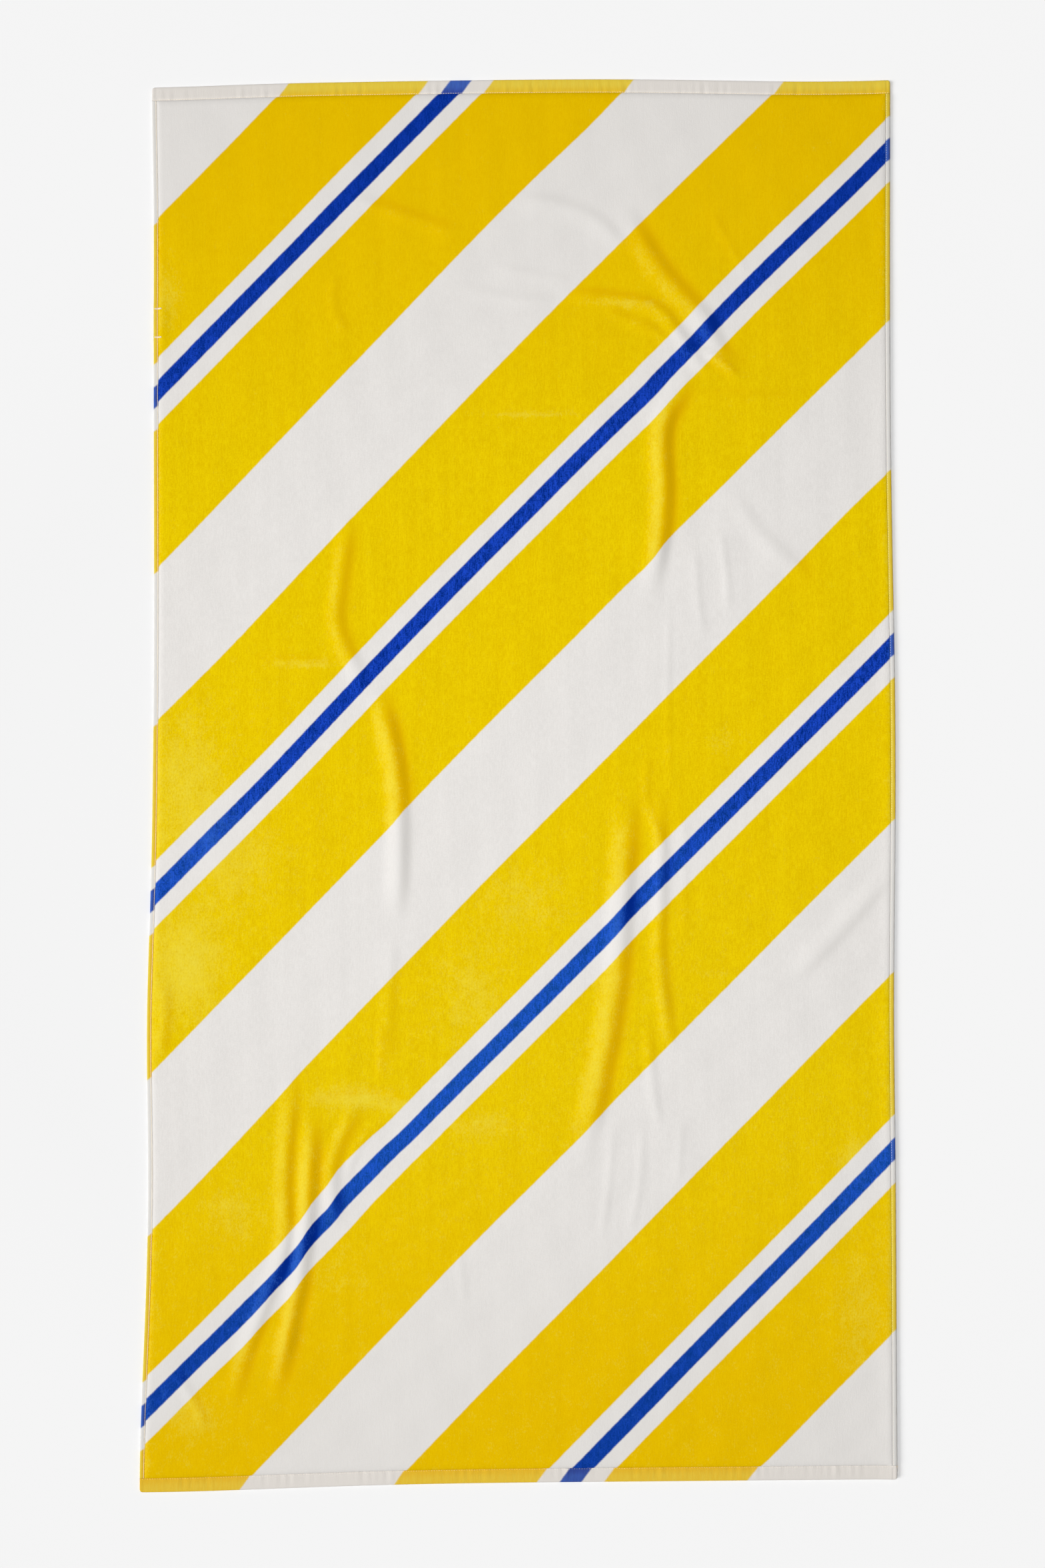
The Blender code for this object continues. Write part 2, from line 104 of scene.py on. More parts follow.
# The folds, in the plan, each walked with its shaded side on the left hand: height, width of the lit flank,
# width of the shaded flank, cloth taken in, and then the points along the crest
FOLDS = (
    (0.0030, 0.024, 0.017, 0.0015, (0.118, 0.702), (0.150, 0.645), (0.172, 0.612), (0.200, 0.580),
     (0.222, 0.555), (0.233, 0.530), (0.250, 0.505), (0.278, 0.486)),
    (0.0014, 0.020, 0.012, 0.0, (-0.020, 0.704), (0.040, 0.698), (0.085, 0.681), (0.113, 0.658),
     (0.140, 0.632)),
    (0.0021, 0.016, 0.010, 0.0, (0.035, 0.586), (0.100, 0.584), (0.150, 0.576), (0.174, 0.562),
     (0.190, 0.540), (0.203, 0.522), (0.216, 0.503), (0.236, 0.490), (0.258, 0.474)),
    (0.0007, 0.014, 0.010, 0.0, (0.208, 0.460), (0.260, 0.461), (0.350, 0.458)),
    (0.0048, 0.022, 0.017, 0.0100, (0.208, 0.500), (0.194, 0.468), (0.178, 0.442), (0.171, 0.420),
     (0.170, 0.390), (0.172, 0.350), (0.170, 0.310), (0.165, 0.270), (0.159, 0.238), (0.154, 0.205)),
    (0.0013, 0.020, 0.016, 0.0, (0.252, 0.350), (0.280, 0.303), (0.306, 0.275), (0.336, 0.248),
     (0.352, 0.222)),
    (0.0013, 0.014, 0.012, 0.0, (-0.218, 0.706), (-0.170, 0.693), (-0.120, 0.676), (-0.070, 0.660)),
    (0.0009, 0.012, 0.009, 0.0, (-0.226, 0.618), (-0.231, 0.580), (-0.224, 0.555), (-0.206, 0.533)),
    (0.0028, 0.017, 0.015, 0.0010, (-0.211, 0.325), (-0.217, 0.270), (-0.222, 0.230), (-0.226, 0.195),
     (-0.220, 0.165), (-0.208, 0.140), (-0.196, 0.116), (-0.184, 0.098)),
    (0.0046, 0.021, 0.017, 0.0035, (-0.180, 0.118), (-0.171, 0.085), (-0.161, 0.050), (-0.155, 0.020),
     (-0.151, -0.010), (-0.149, -0.050), (-0.149, -0.100), (-0.151, -0.150), (-0.155, -0.190)),
    (0.0009, 0.014, 0.012, 0.0, (-0.156, -0.180), (-0.160, -0.250), (-0.163, -0.310), (-0.166, -0.365)),
    (0.0040, 0.026, 0.019, 0.0040, (0.128, 0.000), (0.127, -0.060), (0.124, -0.110), (0.121, -0.160),
     (0.118, -0.210), (0.113, -0.260), (0.105, -0.310), (0.097, -0.350), (0.087, -0.400), (0.077, -0.440),
     (0.068, -0.490)),
    (0.0023, 0.014, 0.013, 0.0, (0.162, 0.000), (0.166, -0.050), (0.168, -0.100), (0.167, -0.150),
     (0.165, -0.200), (0.167, -0.240), (0.172, -0.280), (0.179, -0.320), (0.192, -0.350)),
    (0.0007, 0.010, 0.010, 0.0, (0.195, -0.030), (0.196, -0.090), (0.196, -0.150), (0.198, -0.215)),
    (0.0011, 0.012, 0.008, 0.0, (0.152, -0.295), (0.155, -0.335), (0.158, -0.370), (0.162, -0.400),
     (0.170, -0.430)),
    (0.0019, 0.022, 0.014, 0.0, (0.447, -0.118), (0.415, -0.152), (0.385, -0.186), (0.348, -0.224),
     (0.318, -0.248)),
    (0.0032, 0.019, 0.013, 0.0050, (-0.279, -0.335), (-0.279, -0.390), (-0.284, -0.450), (-0.286, -0.500),
     (-0.284, -0.545), (-0.291, -0.585), (-0.302, -0.615), (-0.316, -0.652), (-0.330, -0.690),
     (-0.342, -0.730), (-0.353, -0.775)),
    (0.0046, 0.016, 0.016, 0.0120, (-0.256, -0.395), (-0.255, -0.440), (-0.257, -0.480), (-0.259, -0.520),
     (-0.263, -0.565), (-0.268, -0.605), (-0.275, -0.640), (-0.283, -0.680), (-0.292, -0.720),
     (-0.300, -0.760)),
    (0.0025, 0.014, 0.014, 0.0090, (-0.192, -0.392), (-0.210, -0.420), (-0.222, -0.445), (-0.229, -0.470),
     (-0.229, -0.505), (-0.224, -0.550)),
    (0.0013, 0.010, 0.008, 0.0, (-0.420, -0.712), (-0.403, -0.740), (-0.389, -0.764), (-0.378, -0.788)),
    (0.0016, 0.012, 0.012, 0.0, (-0.432, -0.245), (-0.432, -0.290), (-0.437, -0.345)),
    (0.0013, 0.010, 0.007, 0.0, (0.098, 0.568), (0.140, 0.552), (0.165, 0.540), (0.184, 0.525)),
    (0.0020, 0.008, 0.007, 0.0, (0.200, 0.527), (0.228, 0.512), (0.246, 0.500), (0.268, 0.480)),
    (0.0009, 0.012, 0.010, 0.0, (-0.080, 0.593), (-0.005, 0.581), (0.045, 0.579)),
    (0.0007, 0.011, 0.009, 0.0, (-0.040, 0.620), (0.010, 0.611), (0.066, 0.600)),
    (0.0009, 0.008, 0.007, 0.0, (-0.335, 0.143), (-0.280, 0.140), (-0.212, 0.134)),
    (0.0010, 0.010, 0.008, 0.0, (0.154, 0.034), (0.150, -0.021), (0.160, -0.061), (0.176, -0.095)),
    (0.0008, 0.009, 0.009, 0.0, (-0.170, -0.296), (-0.171, -0.336), (-0.169, -0.376)),
    (0.0006, 0.008, 0.006, 0.0, (0.179, 0.225), (0.177, 0.105), (0.181, -0.044)),
    (0.0008, 0.009, 0.007, 0.0, (0.210, 0.281), (0.214, 0.216), (0.222, 0.160)),
    (0.0009, 0.009, 0.007, 0.0, (0.240, 0.300), (0.248, 0.244), (0.251, 0.194)),
    (0.0008, 0.009, 0.007, 0.0, (0.110, -0.415), (0.105, -0.490), (0.095, -0.564)),
    (0.0008, 0.009, 0.007, 0.0, (0.145, -0.415), (0.142, -0.490), (0.129, -0.555)),
    (0.0007, 0.009, 0.007, 0.0, (0.192, -0.410), (0.190, -0.455), (0.188, -0.499)),
    (0.0010, 0.008, 0.008, 0.0, (-0.118, -0.386), (-0.183, -0.378), (-0.243, -0.386), (-0.265, -0.415)),
    (0.0009, 0.007, 0.006, 0.0, (-0.155, -0.415), (-0.187, -0.434), (-0.205, -0.464), (-0.213, -0.493)),
    (0.0005, 0.006, 0.006, 0.0, (0.077, -0.423), (-0.016, -0.421), (-0.100, -0.423)),
    (0.0006, 0.010, 0.008, 0.0, (0.229, 0.690), (0.253, 0.647), (0.277, 0.606)),
    (0.0006, 0.009, 0.007, 0.0, (-0.077, -0.573), (-0.072, -0.606), (-0.068, -0.638)),
)
FOLD_TAPER = 0.24  # share of a fold's length over which each end dies away
GATHER_REACH = 0.055  # how far from the crest the cloth has moved in
GATHER_TURN = 0.3  # share of a fold's width, over which the move changes sides at the crest
OUTLINE_POINTS = 401  # along each side, where the outline is measured
CREST_STEP = 0.008  # between points of the smooth line through a fold's own points

# The stripes: measured across them, from the middle of one blue stripe to the next
STRIPE_ANGLE = math.radians(44.7)
STRIPE_PERIOD = 0.4291
STRIPE_MIDDLE = 0.2091  # from the cloth's middle to the middle of a blue stripe
BLUE_HALF = 0.0093
THIN_WHITE_END = 0.0285
YELLOW_END = 0.1493

ENDS = (("top", 1), ("bottom", -1))  # name, and sign of v
SIDES = (("left", -1), ("right", 1))  # name, and sign of u

# Finer shapes of the seams and hems
STITCH = 0.003
STITCH_PHASES = (0.0, 0.24, 0.5, 0.76)  # of one stitch, from needle hole to needle hole
STITCH_HEIGHTS = (-0.00050, 0.00002, 0.00012, 0.00002)  # of its thread over the cloth, at those phases
THREAD_RADIUS = 0.00025
THREAD_END = 0.0015
SEAM_SINKS = {"top": 0.00033, "bottom": 0.0005, "left": -0.0002, "right": 0.0005}  # of the needle threads
TACK_PITCH = 0.0005
TACK_HALF_WIDTH = 0.0009
TACK_STEPS = 6  # points from one turn of the zigzag to the next
GROOVE_REACH = 0.0008
END_SEAM_DEPTH = 0.0006
SIDE_SEAM_DEPTH = 0.0004
GROOVE_BETWEEN_HOLES = 0.7  # share of a seam's depth that its groove keeps between needle holes
HOLE_DEPTH = 0.3  # what a needle hole adds to that share
BOTTOM_HOLE_DEPTH = 0.9  # the same at the bottom hem
RIGHT_SEAM_SHARE = 0.4  # of the left seam's depth, because the right hem lies slacker
SIDE_HEM_SLOPES = (0.0006, -0.0005)  # how far the left and right hems fall from outer fold to seam
FOLD_LINES = (0.0, 0.00015, 0.0005, 0.0012)  # from the outer fold, where its round is drawn
SEAM_LINES = (-0.0009, -0.0004, 0.0, 0.0004, 0.0009)  # from the seam, where its groove is drawn
HEM_STEP = STITCH / 3  # between stations along a hem
END_HEM_LINES, SIDE_HEM_LINES = 8, 2  # evenly spaced, from the round of the fold to the groove of the seam
PUCKERS = (0.0095, 0.0140, 0.0230)  # lengths of the waves along a hem
PUCKER_HEIGHT = 0.00042
SIDE_PUCKER_SHARE = 0.5
PUCKER_PHASE = 0.37  # by which the waves of one hem differ from the next one's
PUCKER_SWELL = 0.11
PUCKER_SWELL_SHARE = 0.4
PUCKER_SWELL_PHASE = 0.21

# Finer shapes of the field
PILE_EDGE_DROP = 0.0012
RIGHT_EDGE_DROP = 0.0006
PILE_EDGE_REACH = 0.0030
PILE_EDGE_LINES = (0.0, 0.0006, 0.0015, 0.0030)
FIELD_COLUMNS = 234
FIELD_ROWS = 318
# Ripples: turn, length, phase
RIPPLES = ((0.3, 0.060, 0.0), (1.4, 0.085, 1.7), (2.3, 0.047, 0.6), (2.9, 0.110, 2.9))
RIPPLE_BEND = 3.0  # how far, in radians, the ripples bend out of straight
RIPPLE_BEND_RATE = 7.0  # radians for each metre
RIPPLE_HEIGHT = 0.0006
RIPPLE_FROM_EDGE = 0.020
RIGHT_CURL = 0.0017  # how far the right edge stands off the floor
CURL_REACH = 0.016
CURL_WAVE = 0.47
CURL_PHASE = 1.0
CURL_SHARES = (0.70, 0.15, -0.25)  # of the curl: steady, in the wave, and for each metre of v

# The print on the hems
END_PRINT_SKIP = 0.0025
LEFT_PRINT_SKIP = 0.0045
RIGHT_PRINT_SKIP = 0.0010
HEM_PRINT_STRETCH = 0.75

# Where the print lies off its straight lines: place, reach, and how far along u
DRIFTS = (
    ((-0.42, -0.55), (0.12, 0.45), 0.0080),
    ((-0.38, 0.10), (0.12, 0.25), 0.0060),
    ((-0.08, -0.55), (0.13, 0.25), -0.0050),
    ((-0.06, 0.05), (0.13, 0.25), -0.0040),
    ((-0.02, 0.60), (0.13, 0.22), -0.0035),
    ((0.17, -0.35), (0.10, 0.25), -0.0020),
    ((0.17, 0.15), (0.10, 0.22), -0.0015),
    ((0.44, 0.55), (0.10, 0.25), 0.0045),
    ((0.44, -0.75), (0.12, 0.20), 0.0060),
    ((0.44, 0.00), (0.07, 0.30), 0.0020),
    ((-0.40, -0.02), (0.07, 0.16), -0.0035),
    ((-0.26, -0.56), (0.06, 0.08), 0.0038),
    ((0.08, 0.78), (0.06, 0.08), 0.0028),
    ((-0.26, 0.78), (0.06, 0.08), -0.0028),
    ((0.41, 0.29), (0.06, 0.08), -0.0030),
    ((0.30, -0.80), (0.06, 0.06), 0.0028),
    ((0.19, 0.53), (0.06, 0.06), 0.0026),
)

# Where the pile was brushed pale, and three thin painted highlights along faint creases: place in the plan,
# reach, and share
PALE_PATCHES = (
    ((-0.405, -0.010), (0.045, 0.090), 0.40),
    ((-0.405, -0.230), (0.040, 0.060), 0.60),
    ((-0.350, -0.100), (0.050, 0.060), 0.32),
    ((-0.350, -0.530), (0.035, 0.030), 0.30),
    ((-0.220, -0.600), (0.035, 0.030), 0.12),
    ((-0.050, -0.425), (0.040, 0.016), 0.32),
    ((-0.060, -0.265), (0.040, 0.060), 0.28),
    ((0.000, -0.150), (0.050, 0.040), 0.28),
    ((0.245, 0.040), (0.030, 0.020), 0.25),
    ((0.400, -0.460), (0.020, 0.025), 0.40),
    ((0.405, -0.650), (0.030, 0.090), 0.24),
    ((-0.400, -0.770), (0.030, 0.030), 0.35),
    ((-0.430, 0.585), (0.015, 0.040), 0.40),
    ((-0.205, -0.391), (0.045, 0.011), 0.55),
    ((-0.150, -0.400), (0.022, 0.008), 0.45),
    # painted highlights: these three thin pale lines lie on the lit flanks of faint creases
    ((-0.260, 0.135), (0.040, 0.004), 0.50),
    ((0.010, 0.440), (0.070, 0.004), 0.50),
    ((0.130, 0.575), (0.040, 0.005), 0.35),
    ((0.230, -0.240), (0.020, 0.004), 0.30),
)
EDGE_PALENESS = 0.35  # beside a side hem
EDGE_PALE_REACH = 0.005
LOWER_PALENESS = 0.12  # of the field's lower left half
LOWER_FROM = 0.25  # v at which that begins, in the middle
LOWER_REACH = 0.5
THIN_PRINT = (0.10, -0.30)  # the print grows thinner from the first v to the second
# Painted highlight on each fold's lit flank and painted shade on its shaded flank, for each metre of the
# fold's height
PAINTED_FOLD_HIGHLIGHT = 115.0  # share for each metre of a fold's height, on its lit flank
PAINTED_FOLD_SHADE = 280.0  # the same for deeper colours, on its shaded flank
LIT_MIDDLE, LIT_REACH = 0.35, 0.45  # shares of the lit flank's width, from the crest
SHADED_MIDDLE, SHADED_REACH = 0.50, 0.50  # the same on the shaded flank
END_DEPTH = 0.6  # how much deeper the colours are toward both ends
END_DEPTH_FROM = 0.35
END_DEPTH_REACH = 0.45

# How pale and how deep the weave of the hems looks
TOP_PALE = (0.18, 0.68)  # at the inner edge, and further out
BOTTOM_PALE = (0.117, 0.442)
END_PALE_REACH = 0.011
TOP_DEEP, BOTTOM_DEEP = 0.45, 0.80
# Painted light and shade of the side hems' rolls: the left hem pale on its outer fold, which faces the key,
# and deep toward its seam; the right hem least pale on its outer fold, which faces away
LEFT_PALE = (0.65, 0.15)  # at the outer fold, and further in
LEFT_DEEP = (0.30, 0.95)
RIGHT_PALE = (0.30, 0.80)
RIGHT_DEEP = 0.55
SIDE_CHANGE_FROM = 0.001  # from the outer fold
LEFT_CHANGE_REACH = 0.003
RIGHT_CHANGE_REACH = 0.002

# Inks, linear, before the light. PALE is the colour of brushed pile and also of painted highlights, DEEP of
# deeper colour and also of painted shade
DARK_GRAINS, LIGHT_GRAINS, PALE, DEEP, THIN = range(5)  # THIN is added where the print is thin
YELLOW = ((0.696, 0.466, 0.0002), (0.784, 0.574, 0.0014), (0.784, 0.642, 0.0560), (0.756, 0.446, 0.0002),
          (0.000, 0.000, 0.0006))
WHITE = ((0.704, 0.680, 0.6540), (0.755, 0.731, 0.7040), (0.745, 0.722, 0.6950), (0.725, 0.700, 0.6700),
         (0.000, 0.000, 0.0000))
BLUE = ((0.0005, 0.0190, 0.185), (0.0115, 0.0640, 0.550), (0.0320, 0.1300, 0.560), (0.0010, 0.0230, 0.250),
        (0.0040, 0.0330, 0.050))
UNDYED = (0.66, 0.76, 0.62, 1.0)  # the yarn of the hems, which the ink did not soak through
UNDYED_SHARE = 0.045
PRINT_BLUR = 0.0003
PRINT_EDGES = ((0.0090, 0.0009), (0.0009, 0.0008))  # unevenness of the stripes' edges: size and swing

# The grain of the velour: its noise (sizes along u and v, detail, roughness), and its shares in the colour
# and in the relief
VELOUR_GRAIN = (
    (((0.0018, 0.0090, 1.0), 2.0, 0.60), 0.36, 0.4),  # upright rows
    (((0.0016, 0.0018, 1.0), 2.0, 0.60), 0.36, 0.4),  # tufts
    (((0.0160, 0.0220, 1.0), 4.0, 0.75), 0.15, 0.9),  # clouds
    (((0.0100, 0.2000, 1.0), 2.0, 0.50), 0.13, 0.0),  # bands
)
BRUSHED = (
    (((0.0020, 0.0032, 1.0), 2.0, 0.70), 0.55),  # specks
    (((0.0140, 0.0200, 1.0), 3.0, 0.70), 0.45),  # spots
)
BRUSHED_SWING = 2.1
PALE_FROM = 0.20
PALE_MOST = 0.9
WEAVES = {"flat_weave": (0.0011, (0.99, 0.96, 0.94, 1.0)),  # pitch, and tint
          "selvedge": (0.0009, (1.00, 1.00, 1.00, 1.0))}
WEAVE_SLUBS = (0.0013, 0.0090, 1.0)
WEAVE_MOTTLE = (0.0022, 0.0100, 1.0)
WEAVE_SWING = 0.6
CROSSING_HEIGHT = 0.3  # of the threads' crossings, against the slubs
BACK_LOOPS = (0.0017, 0.0021, 1.0)
THREAD_TWIST = (0.0006, 0.0006, 0.0006)
TAPE_THREADS = (0.0002, 0.0030, 0.0030)
FLOOR_GRAIN = 0.002
SHEEN_ROUGHNESS = 0.6

# Colours without a print, from the hollows to the high places; the darker colour in the hollows is painted
# shade
BACK_COLOURS = ((0.60, 0.585, 0.545, 1.0), (0.76, 0.745, 0.700, 1.0))
THREAD_COLOURS = ((0.95, 0.800, 0.600, 1.0), (1.00, 0.910, 0.740, 1.0))
TAPE_COLOURS = ((0.76, 0.755, 0.740, 1.0), (0.85, 0.845, 0.830, 1.0))
PRINT_THROUGH = 0.12  # how far the print shows through on the back

# The camera, in the plan
CAMERA_PLACE = (0.0166, -0.0842, 2.6405)
CAMERA_TILT = math.radians(1.60)
CAMERA_LEAN = math.radians(0.35)
LENS = 50.0
FILM_HEIGHT = 36.0

# Light: the key from the left, a softbox over the cloth, and a little from all round
AMBIENT = 0.11
BACKDROP = 0.905
KEY_STRENGTH = 1.98
KEY_FROM_ABOVE = math.radians(57)
KEY_AZIMUTH = math.radians(190)
KEY_SOFTNESS = math.radians(30)
LIGHT_FOOT = (-0.20, -0.05)
SOFTBOX_HEIGHT = 2.9
SOFTBOX_SIZE = 1.2
SOFTBOX_POWER = 56.0

# The floor: at distances from the foot of the light, its tone, and the glow that keeps it as pale as the
# backdrop where the light no longer reaches
FLOOR_SIZE = 60.0
FLOOR_Z = -0.0002
FLOOR_REACH = 8.0
FLOOR_RINGS = ((0.0, 0.815, 0.0), (0.5, 0.845, 0.0), (1.0, 0.930, 0.0), (1.3, 0.980, 0.015),
               (2.0, 0.980, 0.165), (3.0, 0.980, 0.311), (5.0, 0.980, 0.420), (8.0, 0.980, 0.452))


# ------ the lie of the cloth

def smooth(t):
    """0 to 1 with flat ends."""
    t = np.clip(t, 0.0, 1.0)
    return t * t * (3.0 - 2.0 * t)


def rounded_corner(u, v):
    """Moves places near a square corner of the cloth onto the corner's quarter circle."""
    inner_u = WIDTH / 2 - CORNER_RADIUS
    inner_v = LENGTH / 2 - CORNER_RADIUS
    a = np.clip((np.abs(u) - inner_u) / CORNER_RADIUS, 0.0, 1.0)
    b = np.clip((np.abs(v) - inner_v) / CORNER_RADIUS, 0.0, 1.0)
    in_corner = (a > 0.0) & (b > 0.0)
    round_u = inner_u + CORNER_RADIUS * a * np.sqrt(1.0 - b * b / 2.0)
    round_v = inner_v + CORNER_RADIUS * b * np.sqrt(1.0 - a * a / 2.0)
    return np.where(in_corner, np.copysign(round_u, u), u), np.where(in_corner, np.copysign(round_v, v), v)


def lie(u, v):
    """Where the places (u, v) of the cloth come to rest, in the plan."""
    x, y = rounded_corner(u, v)
    y = y + SKEW * u
    for (at_u, at_v), (shift_u, shift_v), reach in PULLS:
        share = np.exp(-((u - at_u) ** 2 + (v - at_v) ** 2) / (2.0 * reach**2))
        x = x + shift_u * share
        y = y + shift_v * share
    return x, y


def smooth_line(points, step):
    """Points a step apart along a Catmull-Rom curve through the given ones."""
    knots = np.array(points)
    knots = np.vstack((2 * knots[0] - knots[1], knots, 2 * knots[-1] - knots[-2]))
    line = [knots[1]]
    for a, b, c, d in zip(knots, knots[1:], knots[2:], knots[3:]):
        count = max(1, round(float(np.hypot(*(c - b))) / step))
        for i in range(1, count + 1):
            t = i / count
            line.append(0.5 * (2 * b + (c - a) * t + (2 * a - 5 * b + 4 * c - d) * t**2
                               + (3 * b - a - 3 * c + d) * t**3))
    return np.array(line)


def from_crest(x, y, points):
    """For places in the plan: distance from a crest, plus on the left hand, share walked, and normal."""
    line = smooth_line(points, CREST_STEP)
    nearest = np.full(x.shape, np.inf)
    signed, walked, normal_x, normal_y = np.zeros((4, *x.shape))
    for i, (start, end) in enumerate(zip(line, line[1:])):
        run = end - start
        length = np.hypot(*run)
        share = np.clip(((x - start[0]) * run[0] + (y - start[1]) * run[1]) / length**2, 0.0, 1.0)
        away_x = x - start[0] - share * run[0]
        away_y = y - start[1] - share * run[1]
        distance = np.hypot(away_x, away_y)
        closer = distance < nearest
        side = np.sign(run[0] * away_y - run[1] * away_x)
        nearest = np.where(closer, distance, nearest)
        signed = np.where(closer, side * distance, signed)
        walked = np.where(closer, (i + share) / (len(line) - 1), walked)
        normal_x = np.where(closer, -run[1] / length, normal_x)
        normal_y = np.where(closer, run[0] / length, normal_y)
    return signed, walked, normal_x, normal_y


def fold_taper(walked):
    """1 along a fold's middle, dying away to 0 at both ends."""
    return smooth(walked / FOLD_TAPER) * smooth((1.0 - walked) / FOLD_TAPER)


def fold_shape(x, y):
    """At places in the plan: how far the folds lift the cloth, and how far they have drawn it in."""
    lift, drawn_x, drawn_y = np.zeros((3, *x.shape))
    for height, lit, shaded, taken_in, *points in FOLDS:
        signed, walked, normal_x, normal_y = from_crest(x, y, points)
        taper = fold_taper(walked)
        flank = np.where(signed > 0.0, shaded, lit)
        lift += height * taper * (1.0 - smooth(np.abs(signed) / flank))
        pull = np.tanh(signed / (GATHER_TURN * (lit + shaded))) * np.exp(-np.abs(signed) / GATHER_REACH)
        drawn_x += 0.5 * taken_in * taper * pull * normal_x
        drawn_y += 0.5 * taken_in * taper * pull * normal_y
    return lift, drawn_x, drawn_y


def settle(x, y, z):
    """From the plan to the row frame, whose origin is the middle of the model's box."""
    edge = np.linspace(-0.5, 0.5, OUTLINE_POINTS)
    u = np.concatenate((edge * WIDTH, edge * WIDTH, edge * 0 + WIDTH / 2, edge * 0 - WIDTH / 2))
    v = np.concatenate((edge * 0 + LENGTH / 2, edge * 0 - LENGTH / 2, edge * LENGTH, edge * LENGTH))
    outline_x, outline_y = lie(u, v)
    middle = [(low + high) / 2 for low, high in zip(*CAD_BOX)]
    step_x = middle[0] - (outline_x.min() + outline_x.max()) / 2
    step_y = middle[1] - (outline_y.min() + outline_y.max()) / 2
    return np.stack((x + step_x, y + step_y, z), axis=-1)


# ------ heights

def side_distance(u):
    return WIDTH / 2 - np.abs(u)


def end_distance(v):
    return LENGTH / 2 - np.abs(v)


def outer_fold(distance, thickness):
    """Half the height of a hem at a distance from its outer fold, which is round."""
    radius = thickness / 2
    inward = np.minimum(distance, radius)
    return np.sqrt(radius**2 - (radius - inward) ** 2)


def groove(distance, depth):
    """Depth of a seam's groove at a distance from the seam line."""
    return depth * np.exp(-((distance / GROOVE_REACH) ** 2))


def label_lift(u, v):
    """How far the label raises the cloth over it."""
    beyond = np.abs(v - LABEL_MIDDLE) - LABEL_LENGTH / 2
    inward = u + WIDTH / 2 - LABEL_FROM_EDGE - LABEL_WIDTH
    return LABEL_LIFT * (1.0 - smooth(beyond / LABEL_RAMP)) * (1.0 - smooth(inward / LABEL_RAMP))


def puckers(along, seed):
    """Soft waves along a hem, where its seam has drawn it in. The seed makes each hem's its own."""
    waves = 0.0
    for k, length in enumerate(PUCKERS, 1):
        waves = waves + np.sin(2 * math.pi * (along / length + seed * PUCKER_PHASE * k))
    swell = np.sin(2 * math.pi * (along / PUCKER_SWELL + seed * PUCKER_SWELL_PHASE))
    swell = 1.0 - PUCKER_SWELL_SHARE + PUCKER_SWELL_SHARE * swell
    return PUCKER_HEIGHT / len(PUCKERS) * waves * swell


def stitch_dimples(along):
    """1 at each needle hole along a seam, and 0 midway between."""
    return 0.5 + 0.5 * np.cos(2 * math.pi * along / STITCH)


def bed(u, v):
    """How high the cloth's underside lies at (u, v): over the floor, the folds and the label."""
    x, y = lie(u, v)
    lift, _, _ = fold_shape(x, y)
    curl = RIGHT_CURL * np.exp(-((WIDTH / 2 - u) / CURL_REACH) ** 2)
    steady, waved, falling = CURL_SHARES
    curl = curl * (steady + waved * np.sin(2 * math.pi * v / CURL_WAVE + CURL_PHASE) + falling * v)
    return lift + label_lift(u, v) + curl


def at_rest(u, v, height):
    """The places (u, v) of the cloth at a height over its underside, in the row frame."""
    return settle(*lie(u, v), height + bed(u, v))


def ripple(u, v):
    """The slight unevenness of a cloth that has been folded and laid flat again."""
    total = 0.0
    for turn, length, phase in RIPPLES:
        along = u * math.cos(turn) + v * math.sin(turn)
        bend = RIPPLE_BEND * np.sin(RIPPLE_BEND_RATE * (u - v) + phase)
        total = total + np.sin(2 * math.pi * along / length + phase + bend)
    return RIPPLE_HEIGHT / len(RIPPLES) * total


def field_top(u, v):
    """The face of the pile, which rounds down beside the hems."""
    inward = np.minimum(side_distance(u) - SIDE_HEM_WIDTH, end_distance(v) - END_HEM_WIDTH)
    inland = smooth(inward / RIPPLE_FROM_EDGE)
    beside_right = WIDTH / 2 - SIDE_HEM_WIDTH - u < PILE_EDGE_REACH
    drop = np.where(beside_right, RIGHT_EDGE_DROP, PILE_EDGE_DROP)
    edge = drop * (1.0 - smooth(inward / PILE_EDGE_REACH))
    return PILE_THICKNESS - edge + inland * ripple(u, v)


def stitched_depth(along, hole_depth):
    """The share of its depth that a seam's groove has at places along it."""
    return GROOVE_BETWEEN_HOLES + hole_depth * stitch_dimples(along)


def end_hem_top(u, v):
    across = end_distance(v)
    half = outer_fold(np.minimum(side_distance(u), across), END_HEM_THICKNESS)
    depth = END_SEAM_DEPTH * stitched_depth(u, np.where(v > 0, HOLE_DEPTH, BOTTOM_HOLE_DEPTH))
    own = groove(across - END_SEAM, depth)
    side = groove(side_distance(u) - SIDE_SEAM, SIDE_SEAM_DEPTH)
    waves = puckers(u, np.sign(v)) * smooth(across / END_SEAM) ** 0.5
    return END_HEM_THICKNESS / 2 + half - np.maximum(own, side) + waves


def side_hem_top(u, v):
    across = side_distance(u)
    half = outer_fold(across, SIDE_HEM_THICKNESS)
    share = np.where(u > 0, RIGHT_SEAM_SHARE, 1.0)
    slope = np.where(u > 0, SIDE_HEM_SLOPES[1], SIDE_HEM_SLOPES[0]) * smooth(across / SIDE_SEAM)
    own = groove(across - SIDE_SEAM, share * SIDE_SEAM_DEPTH * stitched_depth(v, HOLE_DEPTH))
    waves = SIDE_PUCKER_SHARE * puckers(v, np.sign(u) + 2)
    return SIDE_HEM_THICKNESS / 2 + half - slope - own + waves


def end_hem_bottom(u, v):
    half = outer_fold(np.minimum(side_distance(u), end_distance(v)), END_HEM_THICKNESS)
    own = groove(end_distance(v) - END_SEAM, END_SEAM_DEPTH)
    return END_HEM_THICKNESS / 2 - half + own


